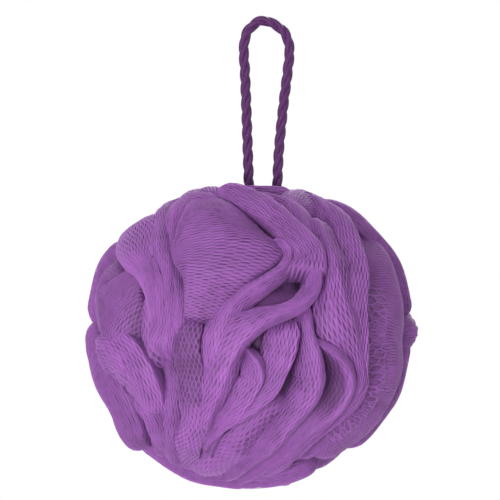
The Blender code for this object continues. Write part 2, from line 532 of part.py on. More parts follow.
def build():
    for obj in list(bpy.data.objects):
        bpy.data.objects.remove(obj)
    rope = material("rope", ROPE_COLOUR, 0.7)
    cord = material("tie_cord", TIE_COLOUR, 0.6)

    hinge = add_object("loop_hinge", None)
    hinge.location = (0, 0, HINGE_Z)
    bpy.context.view_layer.update()

    way, taper = rounded_ends(loop_way(), ROPE_RADIUS)
    add_object("hanging_loop", tube("hanging_loop", way, ROPE_RADIUS, 2, taper), rope)

    spaces = []
    left, right = left_leg_way(), right_leg_way()
    print_least_gap("rope turns", left, ROPE_RADIUS)
    add_object("rope_leg_left", tube("rope_leg_left", left, ROPE_RADIUS), rope, hinge)
    add_object("rope_leg_right", tube("rope_leg_right", right, ROPE_RADIUS), rope, hinge)
    above = np.array([0, 0, 3 * ROPE_RADIUS])
    ways = (np.vstack([left[0] + above, left[:16]]), left[-4:], np.vstack([right[0] + above, right]))
    for i, way in enumerate(ways):
        spaces.append(tube_cutter(f"rope_space_{i + 1}", way, ROPE_RADIUS + CLEAR))
    spaces.append(
        turned_ring(
            "rope_turn_space",
            WAIST_RADIUS,
            TURN_RADIUS + ROPE_RADIUS + CLEAR,
            TURN_LOW - ROPE_RADIUS - CLEAR - BALL.z,
            TURN_TOP + ROPE_RADIUS + CLEAR - BALL.z,
        )
    )

    knot = add_object("rope_knot", knot_mesh("rope_knot", 0), rope, hinge)
    spaces.append(cutter("knot_space", knot_mesh("knot_space", CLEAR)))

    winding = helix(TIE_WIND_RADIUS, math.radians(250), TIE_TURNS, TIE_TOP, TIE_RISE, 18)
    print_least_gap("centre tie", winding, TIE_RADIUS)
    add_object("centre_tie", tube("centre_tie", winding, TIE_RADIUS, 1), cord, hinge)
    spaces.append(
        turned_ring(
            "tie_space",
            WAIST_RADIUS,
            TIE_WIND_RADIUS + TIE_RADIUS + CLEAR,
            TIE_TOP - TIE_TURNS * TIE_RISE - TIE_RADIUS - CLEAR - BALL.z,
            TIE_TOP + TIE_RADIUS + CLEAR - BALL.z,
        )
    )
    add_object("tie_knot", tie_knot_mesh("tie_knot", 0), cord, hinge)
    spaces.append(cutter("tie_knot_space", tie_knot_mesh("tie_knot_space", CLEAR)))

    add_net_lengths(hinge, spaces)


build()
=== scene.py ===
# Net bath puff on its rope loop: the ruffled net, the rope and the studio round them.
# Metres, +Z up, seen from the front along +Y. The origin is where the loop hangs.
import bpy
import math
import numpy as np
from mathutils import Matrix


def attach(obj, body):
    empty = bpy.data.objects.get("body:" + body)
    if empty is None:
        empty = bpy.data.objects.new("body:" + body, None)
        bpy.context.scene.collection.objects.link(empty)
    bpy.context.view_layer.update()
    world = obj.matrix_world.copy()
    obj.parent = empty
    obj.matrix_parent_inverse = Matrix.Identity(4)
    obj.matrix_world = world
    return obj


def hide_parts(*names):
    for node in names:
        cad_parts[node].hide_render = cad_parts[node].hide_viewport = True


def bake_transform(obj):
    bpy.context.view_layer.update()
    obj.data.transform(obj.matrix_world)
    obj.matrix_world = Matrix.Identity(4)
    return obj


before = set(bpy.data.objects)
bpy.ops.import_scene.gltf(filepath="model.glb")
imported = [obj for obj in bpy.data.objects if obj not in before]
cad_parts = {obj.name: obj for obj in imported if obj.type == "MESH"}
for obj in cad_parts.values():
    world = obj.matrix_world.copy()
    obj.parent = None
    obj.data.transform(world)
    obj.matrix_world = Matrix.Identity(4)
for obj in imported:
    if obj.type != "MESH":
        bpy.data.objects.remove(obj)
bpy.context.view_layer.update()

mm = 0.001

ball = {
    "centre": np.array([-0.0050, 0.0, -0.11575]),
    "half": np.array([0.0605, 0.0530, 0.05625]),  # half its width, depth and height
}
meanRadius = float(ball["half"].mean())

# What every ruffle has unless its own entry says otherwise, in millimetres. Widths and drops may be lists
# that go with the points of its way.
ruffle = {
    "left": 7.0,  # how far the cloth reaches beside the crest before it turns inwards
    "right": 7.0,
    "leftDrop": 4.0,  # how far it has sunk by there
    "rightDrop": 4.0,
    "leftShape": 1.5,  # 2 is a rounded side, 1 a straight one, under 1 a hollow one
    "rightShape": 1.5,
    "wall": 8.0,  # how far it goes on inwards
    "pinch": 0.8,  # how far it draws back on that way
    "pleat": 0.22,  # depth of the fine pleats
    "pleatWidth": 3.0,
    "wave": 0.5,  # height of the broad waves
    "weave": "streaks",  # one of netStyles
    "loose": None,  # where its net is open instead of in patches: from and to across it and along it
    "paintedShade": 0.0,  # painted shade: how much darker than the rest, up to 1, and lighter as painted light below 0, or a list of that at even steps along it
    "hollow": False,  # True where its painted shade darkens only its left side, the inside of a hollow
    "begin": (6.0, 10.0, 0.4),  # at each end: how deep it dives, over what length, how narrow it gets
    "finish": (6.0, 10.0, 0.4),
}

blunt = (7.0, 3.0, 0.85)
flared = (3.0, 6.0, 0.8)

# How the net lies: millimetres from cell to cell side by side and end to end, how much of a cell is hole
# each way where it is open and of its width where it lies closed, how blunt its ends are, whether its length
# goes along the ruffle or across, the points of its upper and lower edge, and how unevenly the cells lie.
netStyle = {"tip": 0.25, "way": "along", "points": 3, "uneven": 1}
netStyles = {
    "streaks": dict(wide=1.05, long=3.0, hole=(0.60, 0.92), closed=0.30, tip=0.22),
    "slits": dict(wide=1.2, long=2.6, hole=(0.60, 0.90), closed=0.22, tip=0.22),
    "fine": dict(wide=1.0, long=3.2, hole=(0.34, 0.90), closed=0.14),
    "rows": dict(wide=1.25, long=2.9, hole=(0.54, 0.90), closed=0.32, way="across"),
    "across": dict(wide=1.0, long=3.6, hole=(0.26, 0.90), closed=0.10, tip=0.24, way="across"),
    "open": dict(wide=1.7, long=2.1, hole=(0.66, 0.86), closed=0.30, tip=0.26, points=5),
    "mid": dict(wide=2.6, long=2.2, hole=(0.84, 0.84), closed=0.14, points=5),
    "loops": dict(wide=3.0, long=4.2, hole=(0.86, 0.86), closed=0.80, way="across", points=5, uneven=2.6),
}

# The crest's way: longitude and latitude in degrees, 0 facing the viewer, + to the right and up, and
# the crest's height above the ball in millimetres. Left and right are as seen when going along it.
frontRuffles = [
    # The band from the top round to the hollow in the middle, then its lower half under the hollow
    dict(net=1, way=[(-57, 70, 1.5), (-20, 74, 2), (12, 65, 2), (24, 54, 2), (30, 42, 2.5), (33, 33, 2.5),
        (31, 23, 2)],
        left=[6, 8, 9, 9, 10, 12, 19], leftDrop=3, right=4, rightDrop=5, finish=blunt),
    dict(net=1, way=[(31, 35, 1), (30.5, 27, 2.2), (28, 20, 2.6), (22, 14.5, 2.4), (14, 11, 2.2),
        (7, 7.5, 1.7), (3, 4, 1.5), (-3, -2, 1.5), (-8, -10, 1), (-12, -21, 0.5), (-20, -33, 0),
        (-27, -43, 0)],
        left=[3, 4, 4.2, 3.8, 2.6, 6, 10, 13, 13, 11, 9, 6],
        leftDrop=[2, 2, 2, 2, 2, 3, 3.5, 3, 2.5, 3, 4, 5], leftShape=2,
        right=[2, 2, 2.2, 3, 4, 4, 3, 3, 4, 5, 5, 5], rightDrop=[4, 4, 4, 5, 6, 7, 8, 7, 5, 5, 5, 5],
        paintedShade=[-0.2, -0.2, -0.2, -0.1, 0, 0, 0, 0, 0, 0], begin=flared),
    # The broad sheet left of it with its beak, and the lip that curls round the beak and runs on down
    dict(net=1, way=[(-61, 66, 0), (-37, 52, 1), (-31, 42, 1.5), (-28, 34, 1.5), (-26, 23, 1),
        (-25.5, 14, 0.5), (-26, 6, -0.5)],
        left=[1, 7, 10, 9, 3, 1.2, 1.5], leftDrop=2.5, leftShape=2.5, right=[9, 21, 33, 36.5, 23, 15.5, 12],
        rightDrop=[4, 5, 4.5, 4, 5, 5, 4], rightShape=2.5, pleat=0.08, weave="rows", paintedShade=0.12, begin=blunt,
        finish=blunt),
    dict(net=1, way=[(9, 44, -1.5), (16, 41, 0.5), (19, 35, 1.5), (15, 28.5, 1.8), (5, 23, 0.3),
        (-3, 18, -0.5), (-9, 11, 0), (-12, 3, 0), (-14, -6, -0.6), (-15, -15, -1), (-19, -27, -1),
        (-24, -37, -0.8), (-36, -51, -0.5)],
        left=[2, 2.5, 3, 3.5, 4.5, 5.5, 6, 7, 7, 7, 7, 6, 5],
        leftDrop=[3, 5, 8, 8, 8, 6, 3, 2, 1.5, 1.5, 2, 3, 4],
        right=[3, 3.5, 3.5, 4, 5, 6, 7, 7, 7, 6, 6, 6, 5], rightDrop=[4, 4, 4, 4, 4, 4, 3, 2, 2, 2, 2, 3, 4],
        begin=flared),
    # What shows under the beak and inside the hollow
    dict(net=1, way=[(26, 32, -6.5), (12, 31, -6.5), (2, 25, -6), (-6, 18, -5)],
        left=6, right=6, pleat=0.05, weave="fine"),
    dict(net=1, way=[(34, 17, -6.5), (22, 18, -6.5), (10, 15, -6.5), (-2, 10, -6)],
        left=8, right=8, pleat=0.05, weave="fine"),
    # Upright columns, from the middle to the left
    dict(net=1, way=[(-23, 11, 0), (-25, 5, 0.5), (-26, -4, 1), (-25, -14, 1), (-26, -24, 1),
        (-28, -35, 0.5), (-44, -51, 0), (-77, -64, 0)],
        left=6, leftDrop=2.5, right=6, rightDrop=2, weave="open", loose=((-7, 7), (2, 38)),
        paintedShade=[0.4, 0.4, 0.4, 0.4, 0.25, 0, -0.1, -0.1, 0, 0.1, 0.1]),
    dict(net=1, way=[(-120, 72, -0.5), (-84, 68, 1.4), (-60, 58, 1.2), (-48, 44, -1), (-40, 30, -3),
        (-34, 21, -2.5), (-30, 12, -1.5), (-29, 1, -0.5), (-31, -8, -1.5)],
        left=[6, 6, 6, 5, 4, 4, 4, 4, 4], leftDrop=2, right=[6, 6, 5, 4, 4, 4, 4, 4, 4], rightDrop=2,
        pleat=0.15, wave=0.25),
    dict(net=1, way=[(-116, 62, -0.5), (-92, 59, 1.6), (-72, 53, 1.4), (-54, 42, 0), (-43, 30, -1),
        (-37, 19, -1), (-34, 9, 0), (-34, -2, 0.5), (-34, -11, -1)],
        left=[6, 7, 6, 5, 4, 4, 4, 4, 4], leftDrop=2, right=[6, 6, 5, 4, 4, 4, 4, 4, 4], rightDrop=2,
        pleat=0.15, wave=0.25),
    dict(net=1, way=[(-73, 50, 0.5), (-55, 38, -1), (-45, 27, -0.5), (-39, 16, 0.5), (-36, 6, 1.5),
        (-38, -2, 2), (-38, -9, 0)],
        left=[3, 4, 4, 5, 6, 6, 5], right=[4, 4, 4, 4, 4.5, 5, 4], rightDrop=2.5, pleat=0.15, wave=0.25),
    dict(net=1, way=[(-50, 22, -2.5), (-46, 12, -2.5), (-45, 3, -2.5), (-44, -6, -3), (-42, -16, -3.5)],
        weave="mid"),
    dict(net=1, way=[(-38, -4, -5), (-37, -13, -5), (-37, -22, -3.5), (-41, -34, -1), (-53, -48, 0),
        (-78, -62, 0)],
        begin=flared),
    # Left: the fold whose edge lies over the petal, the petal, what shows behind it, and the sheets under it
    dict(net=1, way=[(-108, 50, -0.5), (-90, 46, 2), (-85, 39, 2.8), (-73, 32, 2), (-60, 27, 1.5),
        (-49, 22, 1.5), (-42, 13, 1.5), (-40, 6, 0.5), (-39, 0, -1)],
        left=2.5, leftDrop=3, right=[8, 10, 15, 18, 14, 8, 6, 5, 4], rightDrop=[3, 3, 3, 3.5, 4, 3, 3, 3, 3],
        weave="fine"),
    dict(net=1, way=[(-96, 42, 0.5), (-92, 32, 2), (-93, 22, 2.6), (-91, 12, 2.2), (-87, 2, 0.5)],
        left=[8, 12, 14, 14, 10], leftDrop=5, right=8),
    dict(net=1, way=[(-72, 34, -2), (-76, 27, 0), (-77, 18, 1), (-70, 10, 0.5), (-61, 3, 0), (-50, -2, -1)],
        left=[6, 8, 10, 10, 8, 6], leftDrop=3, leftShape=2, right=[6, 19, 31, 29, 20, 10],
        rightDrop=[3, 3, 3.5, 3.5, 3.5, 3], pleat=0.1, weave="rows", paintedShade=0.22, begin=(4, 6, 0.6)),
    dict(net=1, way=[(-77, 0, 1), (-64, -4, 1), (-55, -11, 1), (-51, -19, 1), (-50, -28, 0.5), (-53, -38, 0),
        (-66, -53, 0)],
        left=[8, 12, 13, 11, 6, 4, 4], leftDrop=3.5, right=[4, 9, 11, 10, 8, 6, 5], rightDrop=3.5,
        weave="slits", paintedShade=-0.12),
    dict(net=1, way=[(-90, 5, 0), (-89, -3, 1.5), (-84, -13, 0.5), (-81, -22, 0.5), (-80, -30, 1.2),
        (-86, -39, 3.2), (-91, -46, 3.8)],
        left=[8, 11, 13, 14, 14, 12, 9], leftDrop=5, right=[9, 11, 13, 14, 13, 11, 9],
        rightDrop=[3, 4, 5, 6, 6, 6, 5], rightShape=1.3, wall=4, begin=(2, 4, 0.7), finish=(2, 4, 0.7)),
    dict(net=1, way=[(-62, -25, -1), (-55, -27, 0.5), (-51, -32, 1), (-54, -38, 1), (-62, -46, 0.5),
        (-76, -55, 0)],
        left=[3, 5, 6, 6, 5, 5], leftDrop=8, leftShape=0.5, right=6, rightDrop=3),
    # Middle, from the slit under the band to the right
    dict(net=1, way=[(-4, -2, -1.5), (3, -9, 0.5), (5, -16, 0.5), (2, -23, 0.5), (-4, -31, 0), (-13, -38, 0),
        (-23, -46, 0), (-34, -55, 0)],
        left=[5, 8, 9, 9, 8, 7, 6, 5], leftDrop=3, right=2.5, rightDrop=6),
    dict(net=2, way=[(20, 9, -1), (19, 1, 0), (18, -6, 0), (15, -14, 0.5), (12, -21, 0.5), (7, -26, 0.5),
        (-2, -32, 0), (-12, -38, 0), (-20, -46, 0), (-34, -60, 0)],
        left=[12, 13, 13, 12, 11, 10, 8, 6, 5, 5], leftDrop=[4, 5, 6, 6, 5, 4, 3, 3, 3, 3], right=2.5,
        rightDrop=9),
    dict(net=2, way=[(26, 16, -3), (24, 8, -1.5), (24.5, 1, -0.5), (26, -4, 0.5), (28, -12, 1.5),
        (29, -17, 1.5), (28, -23, 1.5), (25, -29, 1), (20, -37, 0.5), (12, -48, 0.5), (0, -59, 0.5),
        (-18, -69, 0.5), (-70, -76, 0.5)],
        left=[4, 5, 5, 6, 8, 8, 8, 7, 6, 6, 5, 4, 4], leftDrop=[4, 5, 6, 7, 8, 9, 9, 8, 6, 5, 4, 4, 4],
        right=[5, 4, 3, 3, 3.5, 4, 4, 4, 5, 5, 5, 4, 4], rightDrop=[3, 3, 3, 3, 3, 3, 3, 3, 4, 4, 4, 4, 4],
        begin=flared),
    # The scoop with its thin rim, painted darker inside as shade
    dict(net=2, way=[(24, 1, -1), (28, -3, 0.8), (32, -5.5, 1.6), (37, -9, 1.9), (41, -13.5, 1.8),
        (43, -19, 1.6), (42, -25, 1.2), (38.5, -31, 0.5), (32, -38, 0), (25, -47, 0), (17, -59, 0),
        (0, -71, 0), (-60, -80, 0)],
        left=[3, 4, 7, 10, 11, 11, 10, 8, 6, 5, 4, 4, 4],
        leftDrop=[5, 9, 13, 15, 15, 14, 12, 8, 5, 3, 3, 3, 3], leftShape=0.4,
        right=[3, 3, 4, 4, 4, 4, 4, 5, 6, 6, 6, 6, 6], rightDrop=2.5, pleat=0.05, weave="fine",
        paintedShade=[1, 1, 1, 0.85, 0.4, 0.1] + 5 * [0], hollow=True, begin=(2, 5, 0.6)),
    # Long bands of the right
    dict(net=2, way=[(46, 57, 0.5), (40, 43, 1), (38, 31, 1.5), (38, 21, 1.5), (39, 12, 1.5), (43, 1, 1),
        (46, -8, 0.5), (48, -16, 0.5), (47, -25, 0), (41, -33, 0), (34, -41, 0), (27, -51, 0), (20, -64, 0),
        (0, -76, 0)],
        left=[4, 5, 5, 7, 12, 14, 5, 3, 3, 4, 4, 5, 5, 5],
        leftDrop=[5, 5, 5, 5, 6, 7, 5] + 7 * [3],
        right=[9, 9, 9, 9, 9, 7, 5, 4, 3, 3, 4, 5, 5, 5], rightDrop=2.5),
    dict(net=2, way=[(92, 70, 0), (76, 62, 2), (69, 52, 2.5), (61, 38, 1.5), (55, 26, 1.3), (50, 14, 1.3),
        (48, 2, 1.3), (49, -10, 1), (51, -20, 0.6), (49, -29, 0), (42, -38, -0.5), (35, -48, -0.5),
        (32, -62, -0.5)],
        left=[4, 4, 6, 9, 9, 8, 7, 6, 5, 4, 4, 4, 4],
        right=[6, 4] + 11 * [2.5], rightDrop=7),
    dict(net=2, way=[(84, 48, 0), (82, 38, 0.3), (79, 27, 0.6), (74, 15, 0.4), (70, 5, 0), (68, -6, 0),
        (70, -16, 0.5), (72, -26, 0.8), (68, -36, 1), (60, -47, 0.8), (52, -58, 0)],
        left=[6, 12, 18, 21, 22, 21, 21, 21, 18, 12, 7], leftDrop=[4, 7, 8.5, 9, 9, 9, 9, 8, 7, 5, 4],
        leftShape=1.25, right=[7, 10, 12, 14, 16, 16, 15, 12, 10, 8, 7], rightShape=2, pleat=0.1,
        weave="across", paintedShade=0.2),
    dict(net=2, way=[(67, 20, -1.6), (63, 9, -1.2), (61, -4, -1), (62, -16, -0.5), (61, -26, -0.1),
        (56, -37, 0.1), (48, -47, -0.4)],
        left=12, leftDrop=4.2, leftShape=1.1, right=2, rightDrop=1, wall=1, pleat=0.05, weave="loops",
        begin=(2, 6, 0.6), finish=(2, 6, 0.6)),
    dict(net=2, way=[(64, 30, -4.5), (60, 17, -5), (57, 5, -5), (57, -9, -5), (58, -23, -5), (52, -35, -4)],
        left=8, right=8, rightDrop=3, pleat=0.1, weave="mid"),
    # Behind the loop's foot
    dict(net=2, way=[(-3, 82, 0), (24, 71, 0), (36, 60, 0), (34, 48, 0), (34, 36, -0.5)], left=5, right=9),
    dict(net=2, way=[(44, 72, 0.5), (74, 68, 1.5), (66, 58, 1), (57, 46, -1)], left=5),
    # The deep patch under the middle, and what makes the outline
    dict(net=2, way=[(20, -25, -5), (12, -35, -4), (-1, -47, -2), (-18, -57, -1), (-45, -66, 0),
        (-80, -68, 0)],
        left=9, leftDrop=3, right=9, rightDrop=3, pleat=0.05, weave="mid", loose=((-4, 6), (8, 34))),
    # Painted lighter, as light from below
    dict(net=1, way=[(-96, -42, -0.5), (-86, -50, 0.2), (-76, -59, 1.8), (-68, -72, 2), (-30, -81, 1.4),
        (40, -84, 1)],
        left=[9, 12, 12, 12, 10, 8], leftDrop=4.5, paintedShade=-0.2, begin=(2, 5, 0.7)),
    dict(net=2, way=[(100, 66, 0.5), (87, 60, 2.2), (85, 54, 2.8), (86, 43, 2.6), (88, 27, 2.8),
        (88, 16, 2.4), (89, 6, 1.6)],
        right=[8, 9, 12, 14, 11, 9, 7], rightDrop=5, finish=(4, 6, 0.6)),
    dict(net=2, way=[(92, 52, -4), (94, 38, -3.2), (96, 22, -3), (94, 6, -3.2), (92, -8, -4)],
        left=9, right=9, wall=2, weave="slits"),
    dict(net=3, way=[(77, -1, -5), (84, 1, 0.5), (92, 2.5, 2), (102, 3, 1.4), (111, -1, 0.6), (117, -10, 0),
        (120, -22, -1)],
        left=[8, 8, 9, 12, 13, 11, 8], right=[7, 7, 8, 10, 12, 12, 9], weave="slits"),
    dict(net=2, way=[(90, 4, 0.4), (88, -8, 0.2), (86, -20, 0), (80, -32, 0.5), (75, -42, 0.6),
        (68, -51, 0.4)],
        right=[8, 12, 14, 14, 12, 9], rightDrop=5),
    # Painted lighter, as light from below
    dict(net=2, way=[(72, -56, -2), (66, -62, 0.8), (41, -74, 1.2), (-10, -80, 1.4), (-70, -76, 1)],
        paintedShade=-0.2),
    # Deeper sheets that close the gaps there
    dict(net=2, way=[(86, -42, -3.5), (84, -56, -2.5), (76, -70, -2)],
        left=9, right=9, wall=2, weave="slits"),
    dict(net=2, way=[(52, -42, -4), (48, -52, -3.2), (42, -64, -2.5)],
        left=8, right=8, wall=2, weave="slits"),
    dict(net=2, way=[(72, 62, -1.5), (65, 50, -1.2), (60, 38, -1.2), (57, 27, -1.5)],
        left=6, right=6, wall=3),
]

# Over the top and under the bottom, round to the back
capRuffles = [
    dict(net=1, way=[(-31, 66, 0.5), (-62, 72, 1), (-105, 70, 1), (-148, 58, 0.6), (-166, 42, 0)],
        left=9, right=12),
    dict(net=2, way=[(33, 46, 0), (32, 59, 0), (46, 67, 1), (92, 68, 1), (128, 60, 0.8), (148, 45, 0)],
        left=[7, 8, 12, 13, 12, 9]),
    dict(net=1, way=[(-92, 48, 0.5), (-86, 56, 1), (-70, 63, 1.4), (-45, 67, 1), (-22, 66, 0)], left=11),
    dict(net=1, way=[(-38, 78, 1.5), (8, 79, 1.5), (40, 77, 1.5), (62, 71, 1.5)],
        left=5, right=5, begin=(2, 6, 0.5), finish=(2, 6, 0.5)),
    dict(net=3, way=[(105, 76, 0.6), (150, 79, 1), (186, 71, 1), (200, 58, 0.8), (196, 42, 0)],
        left=10, right=4, rightDrop=6),
    dict(net=3, way=[(60, -74, 1), (120, -76, 1), (170, -72, 0), (198, -65, -1)], left=8, right=8),
    dict(net=4, way=[(-100, -68, 0), (-130, -76, 0), (-170, -84, 0.5), (120, -86, 0.5), (66, -79, 0)],
        left=8, right=8),
]

# Under the others, where they part, painted darker as shade
deepRuffles = [
    dict(net=1, way=[(-70, -14, -5.5), (-67, -26, -5), (-63, -38, -5), (-66, -50, -4)],
        left=9, right=9, wall=2, weave="slits", paintedShade=0.2),
]

# The back's upright sheets, whose broad sides run in under their neighbours' narrow ones. Places are in
# degrees and the rest in millimetres, some with the change from sheet to sheet after them.
back = {
    "count": 15,
    "lon": (104, 258),  # of the first and the last
    "lat": (-70, 76),  # of their ends
    "points": 11,
    "border": 172,  # between the third length of net and the fourth
    "stray": 2,
    "sway": 8,
    "lean": 12,
    "broad": (12.0, 3),
    "narrow": (4.0, 1),
    "broadDrop": (4.5, 1.2),
    "narrowDrop": 6.0,
    "height": 1.4,  # of the rise and fall of the crests
    "sunk": (0.4, 0.6, 1.5),  # how deep, and how much deeper every other one and the outermost
    "deep": -3.2,
    "weaves": ("streaks", "rows", "slits", "open", "across"),
}
backDeep = {**ruffle, "left": 9, "right": 9, "wall": 2, "pleat": 0.1, "weave": "slits"}


def backSheets():
    # They sway and lean together, every third one is turned about, and a deep one lies between each two.
    # Sines of their number make each one different.
    last = back["count"] - 1
    lat = np.linspace(*back["lat"], back["points"])
    first, whole = back["lon"][0], back["lon"][1] - back["lon"][0]
    sunk, odd, outermost = back["sunk"]
    sheets, deep = [], []
    for i in range(back["count"]):
        middle = first + i * whole / last + back["stray"] * math.sin(2.7 * i)
        sway = back["sway"] * np.sin(np.radians(2.3 * lat) + 0.6 * i + 0.9 * math.sin(1.9 * i))
        lean = back["lean"] * np.sin(np.radians(lat)) * math.sin(0.5 * i + 0.4)
        lon = middle + sway + lean
        height = back["height"] * math.sin(2.4 * i + 0.5) * np.sin(np.radians(2.1 * lat) + i)
        height = height - sunk - odd * (i % 2) - outermost * (i in (0, last))
        net = 3 if middle < back["border"] else 4
        broad, narrow = ("right", "left") if i % 3 == 2 else ("left", "right")
        sheets.append({
            **ruffle,
            "net": net,
            "way": list(zip(lon, lat, height)),
            broad: np.dot(back["broad"], (1, math.sin(3.1 * i))),
            narrow: np.dot(back["narrow"], (1, math.cos(2.3 * i))),
            broad + "Drop": np.dot(back["broadDrop"], (1, math.sin(1.1 * i))),
            narrow + "Drop": back["narrowDrop"],
            "weave": back["weaves"][i % len(back["weaves"])],
        })
        if i:
            way = list(zip((lon + before) / 2, lat, back["deep"] + 0 * lat))
            deep.append({**backDeep, "net": net, "way": way})
        before = lon
    return sheets, deep


def finishRuffles():
    # All ruffles, each laid along its way. The seed shifts its waves, pleats and patches.
    sheets, deep = backSheets()
    made = [{**ruffle, **chosen} for chosen in frontRuffles + capRuffles] + sheets
    made += [{**ruffle, **chosen} for chosen in deepRuffles] + deep
    for i, r in enumerate(made):
        r["seed"] = 1.7 * i
        r["style"] = {**netStyle, **netStyles[r["weave"]]}
        layWay(r)
    print("ruffles:", len(made))
    return made


def direction(lon, lat):
    # Outwards from the ball's middle, of length 1.
    lon, lat = np.radians(lon), np.radians(lat)
    return np.stack([np.cos(lat) * np.sin(lon), -np.cos(lat) * np.cos(lon), np.sin(lat)], axis=-1)


def unit(v):
    return v / np.linalg.norm(v, axis=-1, keepdims=True)


def distances(points):
    # How far each point is along the line through them all.
    return np.concatenate([[0], np.cumsum(np.linalg.norm(np.diff(points, axis=0), axis=1))])


def smoothWay(points, count):
    # Catmull-Rom curve through the points, read again at even steps of its first three columns' length.
    points = np.asarray(points, float)
    ends = np.vstack([2 * points[0] - points[1], points, 2 * points[-1] - points[-2]])
    t = np.linspace(0, len(points) - 1, 40 * len(points))
    i = np.minimum(t.astype(int), len(points) - 2)
    t = (t - i)[:, None]
    a, b, c, d = ends[i], ends[i + 1], ends[i + 2], ends[i + 3]
    way = (2 * b + (c - a) * t + (2 * a - 5 * b + 4 * c - d) * t**2 + (3 * b - a - 3 * c + d) * t**3) / 2
    run = distances(way[:, :3])
    even = np.linspace(0, run[-1], count)
    return np.stack([np.interp(even, run, way[:, k]) for k in range(way.shape[1])], axis=1)


def evened(values, count):
    # The mean of each value and its neighbours, so many in all.
    return np.convolve(np.pad(values, count // 2, mode="edge"), np.ones(count) / count, "valid")


def rippled(waves, run, seed):
    return sum(high * np.sin(run / long + move * seed) for high, long, move in waves)


sideNames = ("left", "right", "leftDrop", "rightDrop")

crest = {
    "points": 160,
    "ripples": ((0.25, 3.7, 1), (0.4, 8.1, 2)),  # how high, how long, and how far the seed moves them
    "least": 0.5,  # width of a side
    "inBend": 0.9,  # its greatest width inside a bend, to the bend's radius
    "straight": 0.004,  # radians per millimetre
    "evenBend": 17,  # points over which it is evened
    "evenWidth": 13,
}


def layWay(r):
    # Along the crest: directions, widths and heights, how long it is and what its ends do.
    way = np.array(r["way"], float)
    columns = [direction(way[:, 0], way[:, 1]), way[:, 2:]]
    for name in sideNames:
        columns.append(np.broadcast_to(np.asarray(r[name], float), len(way))[:, None])
    laid = smoothWay(np.hstack(columns), crest["points"])
    aim = unit(laid[:, :3])
    ahead = unit(np.gradient(aim, axis=0))
    r["aim"], r["aside"] = aim, unit(np.cross(aim, ahead))
    steps = np.linalg.norm(np.diff(aim, axis=0), axis=1)
    run = np.concatenate([[0], np.cumsum(steps * meanRadius / mm)])
    r["run"], r["long"] = run, run[-1]
    r["fullness"] = np.ones(len(run))
    r["crest"] = 1 / np.linalg.norm(aim / ball["half"], axis=1) / mm + laid[:, 3]
    for (dive, reach, narrow), gone in ((r["begin"], run), (r["finish"], run[-1] - run)):
        near = np.clip(1 - gone / min(reach, run[-1] / 2), 0, 1)
        r["fullness"] *= narrow + (1 - narrow) * np.sqrt(1 - near**2)
        r["crest"] -= dive * near**2
    r["crest"] += rippled(crest["ripples"], run, r["seed"])
    for i, name in enumerate(sideNames):
        r[name + "Along"] = np.maximum(laid[:, 4 + i], crest["least"])
    bend = (np.gradient(ahead, run, axis=0) * r["aside"]).sum(axis=1)  # to the right, per millimetre
    for side, sign in (("left", -1), ("right", 1)):
        most = crest["inBend"] / np.maximum(sign * evened(bend, crest["evenBend"]), crest["straight"])
        r[side + "Along"] = evened(np.minimum(r[side + "Along"], most), crest["evenWidth"])
        laySide(r, side)


# Steps of the cloth over a side and down its wall, and how round the crest is in millimetres
section = {"over": 60, "down": 20, "round": 0.7, "roundHollow": 0.15}


def laySide(r, side):
    # The cross-section of one side at even steps of its cloth: out along x and down as a power of x,
    # then the wall. Kept as shares of the width, the drop and the wall.
    wide = float(r[side + "Along"].mean())
    drop = float(r[side + "DropAlong"].mean())
    power = r[side + "Shape"]
    soft = (section["round"] if power >= 1 else section["roundHollow"]) / wide
    x = np.linspace(0, 1, section["over"])
    y = ((x**2 + soft**2) ** (power / 2) - soft**power) / ((1 + soft**2) ** (power / 2) - soft**power)
    down = np.linspace(0, 1, section["down"])[1:]
    across = np.concatenate([x, 1 - r["pinch"] / wide * down])
    sunk = np.concatenate([y, np.ones(len(down))])
    wall = np.concatenate([np.zeros(len(x)), down])
    depth = sunk * drop + wall * r["wall"]
    arc = np.concatenate([[0], np.cumsum(np.hypot(np.diff(across * wide), np.diff(depth)))])
    r[side + "Arc"] = arc[-1]
    r[side + "Section"] = arc / arc[-1], across, sunk, wall


def ruffleBase(r, u, s):
    # Point of a ruffle at share u along its crest and s millimetres of cloth to the right of it, with the
    # cross-section fanned out from the ball's middle.
    place = u * r["long"]
    aim, aside = (unit(np.stack([np.interp(place, r["run"], axis) for axis in r[name].T], axis=-1))
                  for name in ("aim", "aside"))
    turn, depth = np.zeros(place.shape), np.zeros(place.shape)
    for side, sign in (("left", -1), ("right", 1)):
        share = np.clip(sign * s / r[side + "Arc"], 0, 1)
        at, across, sunk, wall = r[side + "Section"]
        wide = np.interp(place, r["run"], r[side + "Along"] * r["fullness"])
        drop = np.interp(place, r["run"], r[side + "DropAlong"])
        here = share > 0
        turn += here * sign * wide * np.interp(share, at, across)
        depth += here * (drop * np.interp(share, at, sunk) + r["wall"] * np.interp(share, at, wall))
    turn = turn * mm / meanRadius
    outward = np.cos(turn)[..., None] * aim + np.sin(turn)[..., None] * aside
    return ball["centre"] + outward * ((np.interp(place, r["run"], r["crest"]) - depth) * mm)[..., None]


# How the pleats and waves change, over how many millimetres of cloth, or how many across and along
folds = {
    "step": 0.15,  # between the points that give the surface's slope
    "drift": ((1.3, 11.0, 1), (0.9, 4.6, 2.3)),  # like the crest's ripples
    "widen": ((0.25, 17.0, 1.1),),
    "fade": 0.4,
    "fadeOver": (5.2, 13.0),
    "waveOver": (3.9, 6.7),
    "sway": ((0.8, 9, 0),),
}


